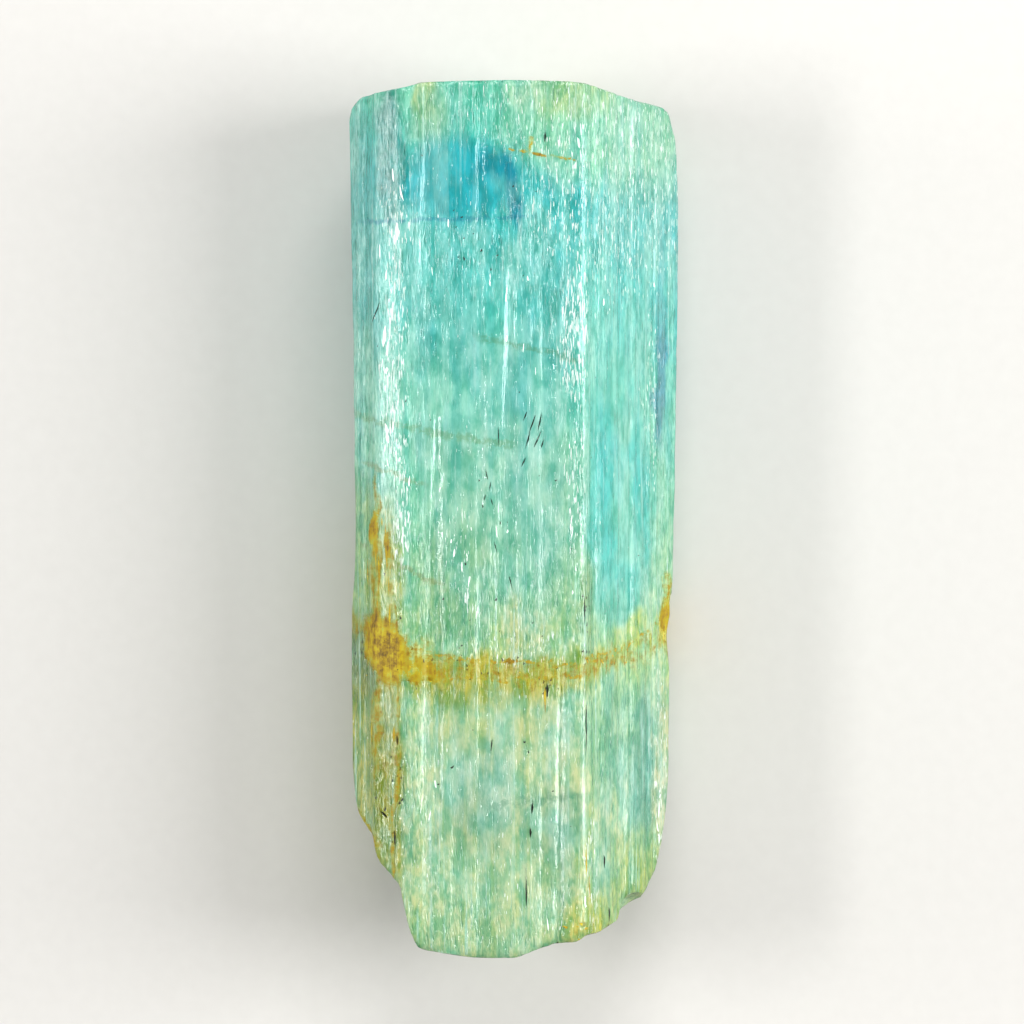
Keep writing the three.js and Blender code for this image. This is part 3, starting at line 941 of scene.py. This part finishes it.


# bright silky flakes under the faces, which also stand in for painted glints and for the painted highlight
# down the left bevel, in clusters: at is (across, along), and reach the same way

silkAndGlintFlakes = {
    "clusters": [
        # the painted highlight down the left bevel
        {"at": (-0.75, 0.36), "reach": (0.04, 0.28), "count": 220},
        {"at": (-0.72, 0.72), "reach": (0.07, 0.08), "count": 16, "size": (0.06, 0.16)},
        {"at": (-0.67, 0.02), "reach": (0.03, 0.12), "count": 60},
        {"at": (0.34, 0.46), "reach": (0.05, 0.13), "count": 80},
        {"at": (0.33, 0.08), "reach": (0.05, 0.14), "count": 50},
        {"at": (0.36, -0.15), "reach": (0.025, 0.08), "count": 40},
        {"at": (-0.13, 0.5), "reach": (0.05, 0.05), "count": 26},
        {"at": (-0.46, 0.68), "reach": (0.1, 0.04), "count": 26},
        {"at": (-0.33, -0.05), "reach": (0.05, 0.09), "count": 56, "size": (0.02, 0.06)},
        {"at": (-0.76, 0.3), "reach": (0.03, 0.2), "count": 22, "size": (0.06, 0.16)},
        {"at": (0.34, 0.5), "reach": (0.04, 0.05), "count": 9, "size": (0.05, 0.11)},
        {"at": (-0.27, -0.17), "reach": (0.04, 0.07), "count": 50, "size": (0.02, 0.05)},
        {"at": (-0.08, 0.0), "reach": (0.06, 0.03), "count": 22},
        {"at": (0.4, 0.83), "reach": (0.08, 0.07), "count": 40},
        {"at": (0.6, 0.6), "reach": (0.2, 0.16), "count": 60},
        {"at": (0.83, 0.35), "reach": (0.02, 0.2), "count": 40},
        {"at": (0.2, -0.66), "reach": (0.12, 0.02), "count": 30},
        {"at": (0.44, -0.8), "reach": (0.035, 0.1), "count": 36},
        {"at": (0.87, -0.6), "reach": (0.02, 0.2), "count": 60},
        {"at": (-0.5, -0.69), "reach": (0.02, 0.035), "count": 26},
        {"at": (0.2, -0.93), "reach": (0.08, 0.02), "count": 16},
        {"at": (-0.1, 0.1), "reach": (0.5, 0.55), "count": 60},
    ],
    "loose": 260,  # spread over all the sides
    "size": (0.02, 0.075),  # mm
    "length": (1.5, 11),  # over the width
    "seed": 11,
}


def makeSilkAndGlintFlakes():
    chance = random.Random(silkAndGlintFlakes["seed"])
    spots = []
    for cluster in silkAndGlintFlakes["clusters"]:
        width = cluster.get("size", silkAndGlintFlakes["size"])
        spots += [(found, width) for found in facePlaces(cluster, chance, even=True)]
    spots += [(surfaceAround(chance), silkAndGlintFlakes["size"]) for _ in range(silkAndGlintFlakes["loose"])]
    places = []
    for found, width in spots:
        if not found or found[0].z < boxLow.z + 0.3 * mm or abs(found[1].y) > 0.5:
            continue
        place, normal = found
        wide = chance.uniform(*width) * mm
        long = wide * chance.uniform(*silkAndGlintFlakes["length"])
        size = (wide, long, wide * 0.35)
        below = chance.uniform(0, 0.12 * mm)
        places.append(lying(place - normal * below, normal, size, math.radians(chance.gauss(0, 7))))
    models = [makeShard(seed, 0.5) for seed in (1, 2, 3)]
    return scatter(models, places, "silkAndGlintFlakes", chance)


# a sheet that spans the crystal, cut to lie just inside its faces

def insideOnly(sheet, shrink):
    cutter = cadCopy("cutter")
    resizeAll(cutter, (shrink, shrink, shrink), tuple(boxMiddle))
    applyModifier(sheet, "BOOLEAN", operation="INTERSECT", object=cutter, solver="EXACT")
    bpy.data.objects.remove(cutter)


def waveSheet(sheet, width, height, seed):
    settings = {"direction": "Y", "strength": height * mm, "mid_level": 0.5}
    displace(sheet, "sheetWave", {"noise_depth": 3}, (width * mm,) * 3, (seed * 0.1, 0, 0), **settings)


# the iron-stained fracture: bowed across the crystal, and lower at the back than at the front

ironFracture = {
    "along": -0.335,  # its lowest line on the front face
    "bowRadius": 16 * mm,
    "dip": 3.6 * mm,  # how much lower it is at the back
    "steps": 26,
    "thickness": 0.1 * mm,
    "inside": 0.96,
}


def makeIronFracture():
    radius = ironFracture["bowRadius"]
    lowest = spot(0, ironFracture["along"], 1)
    deselectAll()
    centre = lowest + Vector((0, radius, 0.2 * mm))
    bpy.ops.mesh.primitive_circle_add(vertices=160, radius=radius, fill_type="NOTHING", location=centre)
    sheet = bpy.context.object
    bpy.ops.object.transform_apply(location=True)
    bpy.ops.object.mode_set(mode="EDIT")
    bpy.ops.mesh.select_all(action="SELECT")
    bpy.ops.mesh.bisect(plane_co=centre - Vector((0, 0.3 * radius, 0)), plane_no=(0, 1, 0), clear_outer=True)
    bpy.ops.mesh.select_all(action="SELECT")
    fall = 2 * boxHalf.z / ironFracture["steps"]
    slip = ironFracture["dip"] / ironFracture["steps"]
    for _ in range(ironFracture["steps"]):
        bpy.ops.mesh.extrude_region_move(TRANSFORM_OT_translate={"value": (0, -slip, -fall)})
    bpy.ops.mesh.select_all(action="SELECT")
    bpy.ops.mesh.normals_make_consistent(inside=False)
    bpy.ops.object.mode_set(mode="OBJECT")
    waveSheet(sheet, 4.5, 1.6, 1)
    waveSheet(sheet, 1.1, 0.5, 2)
    applyModifier(sheet, "SOLIDIFY", thickness=ironFracture["thickness"], offset=0)
    insideOnly(sheet, ironFracture["inside"])
    sheet.name = "ironFracture"
    return sheet


# healed fractures: thin veils across the crystal. at is (across, along, up) of the middle, size is in shares
# of the box, and tilt is about X and turn about Z, in degrees

healedVeils = {
    "veils": [
        {"at": (-0.35, 0.688, 0.72), "size": (0.95, 0.6), "tilt": 2, "turn": 0.5},
        {"at": (0.1, 0.815, 0.7), "size": (0.75, 0.6), "tilt": -6, "turn": -5},
        {"at": (-0.45, 0.19, 0.74), "size": (0.75, 0.5), "tilt": 5, "turn": -3},
        {"at": (0.15, 0.415, 0.78), "size": (0.45, 0.4), "tilt": -9, "turn": -9},
        {"at": (-0.4, -0.12, 0.78), "size": (0.6, 0.4), "tilt": 10, "turn": -14},
        {"at": (0.3, -0.69, 0.7), "size": (0.5, 0.5), "tilt": 8, "turn": 3},
        {"at": (0.3, 0.3, 0.3), "size": (1.3, 0.5), "tilt": 14, "turn": 6},
        {"at": (-0.2, -0.55, 0.3), "size": (1.4, 0.6), "tilt": -12, "turn": 4},
    ],
    "cuts": 40,
    "thickness": 0.05 * mm,
    "inside": 0.965,
}


def makeHealedVeils():
    made = []
    for number, veil in enumerate(healedVeils["veils"]):
        deselectAll()
        cuts = healedVeils["cuts"]
        bpy.ops.mesh.primitive_grid_add(x_subdivisions=cuts, y_subdivisions=cuts, size=2)
        sheet = bpy.context.object
        wide, deep = veil["size"][0] * boxHalf.x, veil["size"][1] * boxHalf.z
        stand = Matrix.Rotation(math.radians(90 + veil["tilt"]), 4, "X")
        turned = Matrix.Rotation(math.radians(veil["turn"]), 4, "Z")
        placed = Matrix.Translation(spot(*veil["at"]))
        sheet.data.transform(placed @ turned @ stand @ Matrix.Diagonal((wide, deep, 1, 1)))
        waveSheet(sheet, 3.0, 0.9, number)
        waveSheet(sheet, 0.8, 0.16, number + 20)
        applyModifier(sheet, "SOLIDIFY", thickness=healedVeils["thickness"], offset=0)
        insideOnly(sheet, healedVeils["inside"])
        made.append(sheet)
    return joinAll(made, "healedVeils")


# golden threads of iron stain down the left faces, and crumbs of it in the fracture

ironThreads = {
    "runs": [
        {"at": (-0.84, -0.13), "reach": (0.045, 0.16), "count": 46},
        {"at": (-0.76, -0.14), "reach": (0.04, 0.14), "count": 40},
        {"at": (-0.85, -0.02), "reach": (0.02, 0.05), "count": 24},
        {"at": (-0.77, -0.05), "reach": (0.015, 0.035), "count": 14},
        {"at": (-0.83, -0.45), "reach": (0.02, 0.1), "count": 12},
        {"at": (-0.69, -0.46), "reach": (0.03, 0.08), "count": 14},
        {"at": (-0.72, -0.7), "reach": (0.02, 0.12), "count": 16},
        {"at": (0.18, -0.4), "reach": (0.02, 0.04), "count": 6},
        {"at": (0.93, -0.22), "reach": (0.02, 0.06), "count": 22},
        {"at": (0.42, -0.15), "reach": (0.01, 0.05), "count": 6},
        {"at": (0.43, -0.82), "reach": (0.05, 0.09), "count": 16},
    ],
    "thickness": (0.03 * mm, 0.11 * mm),
    "halfLength": (0.3 * mm, 1.6 * mm),
    "seed": 19,
}


def makeIronThreads():
    chance = random.Random(ironThreads["seed"])
    places = []
    for run in ironThreads["runs"]:
        for place, normal in facePlaces(run, chance, even=True):
            thick = chance.uniform(*ironThreads["thickness"])
            length = chance.uniform(*ironThreads["halfLength"])
            below = chance.uniform(0, 0.2 * mm)
            turn = math.radians(chance.gauss(0, 2))
            places.append(lying(place - normal * below, normal, (thick, length, thick * 0.5), turn))
    return scatter([makeSpindle(5)], places, "ironThreads", chance)


ironCrumbs = {
    "patches": [
        {"at": (-0.75, -0.3), "reach": (0.09, 0.055), "count": 70, "size": (0.03, 0.1)},
        {"at": (-0.58, -0.345), "reach": (0.12, 0.025), "count": 70},
        {"at": (-0.1, -0.34), "reach": (0.4, 0.018), "count": 44, "size": (0.03, 0.1)},
        {"at": (0.45, -0.33), "reach": (0.2, 0.02), "count": 30},
        {"at": (0.93, -0.25), "reach": (0.03, 0.04), "count": 30},
        {"at": (0.15, 0.828), "reach": (0.09, 0.006), "count": 5, "size": (0.03, 0.08)},
        {"at": (0.36, -0.935), "reach": (0.08, 0.025), "count": 40},
    ],
    "size": (0.04, 0.15),  # mm
    "seed": 23,
}


def makeIronCrumbs():
    chance = random.Random(ironCrumbs["seed"])
    places = []
    for patch in ironCrumbs["patches"]:
        for place, normal in facePlaces(patch, chance):
            wide = chance.uniform(*patch.get("size", ironCrumbs["size"])) * mm
            size = (wide, wide * chance.uniform(0.8, 2), wide * 0.5)
            below = chance.uniform(0, 0.15 * mm)
            places.append(lying(place - normal * below, normal, size, chance.uniform(0, 3)))
    models = [makeShard(seed, 0.6) for seed in (4, 5)]
    return scatter(models, places, "ironCrumbs", chance)


# dark mineral specks and short open cracks. length is in mm, and turn in degrees

darkMarks = {
    "specks": [
        {"at": (-0.74, -0.3), "reach": (0.12, 0.06), "count": 16, "size": (0.04, 0.1)},
        {"at": (-0.92, -0.3), "reach": (0.04, 0.05), "count": 9, "size": (0.05, 0.11)},
        {"at": (-0.1, -0.335), "reach": (0.35, 0.02), "count": 12, "size": (0.05, 0.1)},
        {"at": (0.2, -0.38), "reach": (0.05, 0.03), "count": 8, "size": (0.05, 0.1)},
        {"at": (0.42, -0.25), "reach": (0.02, 0.08), "count": 14, "size": (0.05, 0.1)},
        {"at": (-0.7, -0.6), "reach": (0.12, 0.14), "count": 12, "size": (0.04, 0.09)},
        {"at": (-0.3, 0.63), "reach": (0.16, 0.03), "count": 6, "size": (0.04, 0.09)},
        {"at": (0.0, 0.0), "reach": (0.7, 0.8), "count": 50, "size": (0.03, 0.08)},
    ],
    "cracks": [
        {"at": (0.176, 0.867), "length": 1.2, "turn": -4, "width": 0.07},
        {"at": (-0.17, 0.1), "length": 0.9, "turn": 12, "width": 0.04},
        {"at": (-0.15, 0.075), "length": 1.1, "turn": -8, "width": 0.04},
        {"at": (-0.14, 0.04), "length": 0.8, "turn": 16, "width": 0.04},
        {"at": (-0.18, 0.05), "length": 0.7, "turn": -14, "width": 0.04},
        {"at": (0.06, 0.235), "length": 1.3, "turn": -22, "width": 0.05},
        {"at": (0.075, 0.18), "length": 1.9, "turn": -16, "width": 0.06},
        {"at": (0.1, 0.215), "length": 2.4, "turn": -20, "width": 0.05},
        {"at": (0.125, 0.175), "length": 1.5, "turn": -24, "width": 0.05},
        {"at": (0.145, 0.22), "length": 2.0, "turn": -12, "width": 0.06},
        {"at": (0.16, 0.17), "length": 1.2, "turn": -18, "width": 0.05},
        {"at": (0.05, 0.13), "length": 1.0, "turn": -26, "width": 0.05},
        {"at": (-0.1, 0.19), "length": 2.0, "turn": 1, "width": 0.04},
        {"at": (-0.03, -0.14), "length": 1.6, "turn": 14, "width": 0.035},
        {"at": (-0.12, -0.06), "length": 1.6, "turn": 16, "width": 0.035},
        {"at": (0.19, -0.385), "length": 1.8, "turn": -1},
        {"at": (0.41, -0.2), "length": 4.2, "turn": 0.5, "width": 0.05},
        {"at": (0.42, -0.5), "length": 4.5, "turn": 0, "width": 0.045},
        {"at": (0.1, -0.655), "length": 1.2, "turn": -3},
        {"at": (0.09, -0.71), "length": 1.2, "turn": 2},
        {"at": (0.065, -0.85), "length": 4.0, "turn": 0.5, "width": 0.055},
        {"at": (0.53, -0.78), "length": 1.6, "turn": 2},
        {"at": (0.56, -0.9), "length": 1.6, "turn": 2},
        {"at": (-0.715, -0.72), "length": 1.8, "turn": 2},
        {"at": (-0.78, -0.67), "length": 1.8, "turn": 52},
        {"at": (-0.84, 0.46), "length": 2.2, "turn": -35, "width": 0.04},
        {"at": (-0.14, -0.51), "length": 1.8, "turn": -6, "width": 0.05},
        {"at": (-0.7, -0.5), "length": 1.2, "turn": 2},
    ],
    "crackWidth": 0.09,
    "seed": 31,
}


def makeCrackModel():  # a blade two units long on Y, ragged and drawn out at its ends
    blade = makeSpindle(6)
    bpy.ops.object.mode_set(mode="EDIT")
    bpy.ops.mesh.select_all(action="SELECT")
    bpy.ops.mesh.subdivide(number_cuts=4)
    bpy.ops.transform.vertex_random(offset=0.28, uniform=0.2, normal=0.0, seed=9)
    bpy.ops.object.mode_set(mode="OBJECT")
    return blade


def makeDarkMarks():
    chance = random.Random(darkMarks["seed"])
    speckPlaces, crackPlaces = [], []
    for patch in darkMarks["specks"]:
        for place, normal in facePlaces(patch, chance):
            wide = chance.uniform(*patch["size"]) * mm
            size = (wide, wide * chance.uniform(1, 2.5), wide * 0.4)
            turn = math.radians(chance.gauss(0, 25))
            speckPlaces.append(lying(place - normal * wide * 0.15, normal, size, turn))
    for crack in darkMarks["cracks"]:
        place, normal = surfaceBelow(*crack["at"])
        wide = crack.get("width", darkMarks["crackWidth"]) * mm
        size = (wide, crack["length"] / 2 * mm, 2 * wide)
        crackPlaces.append(lying(place - normal * wide, normal, size, math.radians(crack["turn"])))
    specks = scatter([makeShard(6, 0.5)], speckPlaces, "specks", chance)
    cracks = scatter([makeCrackModel()], crackPlaces, "cracks", chance)
    return joinAll([specks, cracks], "darkMarks")


# finishes of what is inside

def silkFinish(name, code, roughness):
    material, tree, shader, place = newMaterial(name)
    sheen = grain(tree, place, 0.2, 6.0, 2.0, 2.0)
    feed(tree, shader.inputs["Base Color"], mixColour(tree, sheen, code, "ffffff"))
    shader.inputs["Roughness"].default_value = roughness
    return material


def veilFinish():
    material, tree, shader, place = newMaterial("healedVeil")
    ragged = speckle(tree, place, 0.7, 0.45)
    fine = speckle(tree, place, 0.16, 0.5)
    feed(tree, shader.inputs["Base Color"], mixColour(tree, fine, "4f9c90", "9fb87c"))
    film = calc(tree, "MULTIPLY", ragged, fine)
    feed(tree, shader.inputs["Alpha"], calc(tree, "MULTIPLY_ADD", film, 0.6, 0.08))
    shader.inputs["Roughness"].default_value = 0.35
    return material


def ironFinish(name, cover):
    material, tree, shader, place = newMaterial(name)
    coarse = cloudy(tree, place, 900.0, 5.0, 0.65)
    rust = ramp(tree, coarse, [
        (0.3, "5c4402"),
        (0.42, "947a02"),
        (0.55, "bca408"),
        (0.7, "d0c430"),
    ])
    pits = speckle(tree, place, 0.3, 0.3)
    feed(tree, shader.inputs["Base Color"], mixColour(tree, pits, rust, "6b4806"))
    if cover < 1:
        ragged = speckle(tree, place, 1.4, cover)
        feed(tree, shader.inputs["Alpha"], calc(tree, "MULTIPLY_ADD", ragged, 0.75, 0.15))
    shader.inputs["Roughness"].default_value = 0.6
    bump = addNode(tree, "ShaderNodeBump", {"Height": coarse, "Strength": 0.5, "Distance": 0.05 * mm})
    feed(tree, shader.inputs["Normal"], bump.outputs[0])
    return material


def darkFinish():
    material, tree, shader, place = newMaterial("darkMineral")
    mottle = speckle(tree, place, 0.12, 0.4)
    feed(tree, shader.inputs["Base Color"], mixColour(tree, mottle, "0e1c18", "3d3a22"))
    shader.inputs["Roughness"].default_value = 0.5
    return material


finishPiece(makeGrowthTubes(), silkFinish("growthTube", "d8f3ea", 0.25))
# white flakes: silk in the crystal and painted glints
finishPiece(makeSilkAndGlintFlakes(), silkFinish("silk", "f2fbf2", 0.3))
print("tubes and flakes are in")
finishPiece(makeHealedVeils(), veilFinish())
finishPiece(makeIronFracture(), ironFinish("ironFilm", 0.62))
print("fractures are in")
ironCrust = ironFinish("ironCrust", 1)
finishPiece(makeIronThreads(), ironCrust)
finishPiece(makeIronCrumbs(), ironCrust)
finishPiece(makeDarkMarks(), darkFinish())
print("stains and specks are in")


# the floor

floorSet = {"size": 1.6, "colours": ("cccac6", "c7c5c1"), "roughness": 0.7}


def makeFloor():
    deselectAll()
    bpy.ops.mesh.primitive_plane_add(size=floorSet["size"], location=spot(0, 0, 0))
    floor = bpy.context.object
    floor.name = "floor"
    bpy.ops.object.transform_apply(location=True)
    material, tree, shader, place = newMaterial("palePaper")
    fibre = cloudy(tree, place, 900.0, 3.0)
    feed(tree, shader.inputs["Base Color"], mixColour(tree, fibre, *floorSet["colours"]))
    shader.inputs["Roughness"].default_value = floorSet["roughness"]
    floor.data.materials.append(material)


makeFloor()
print("floor is laid")
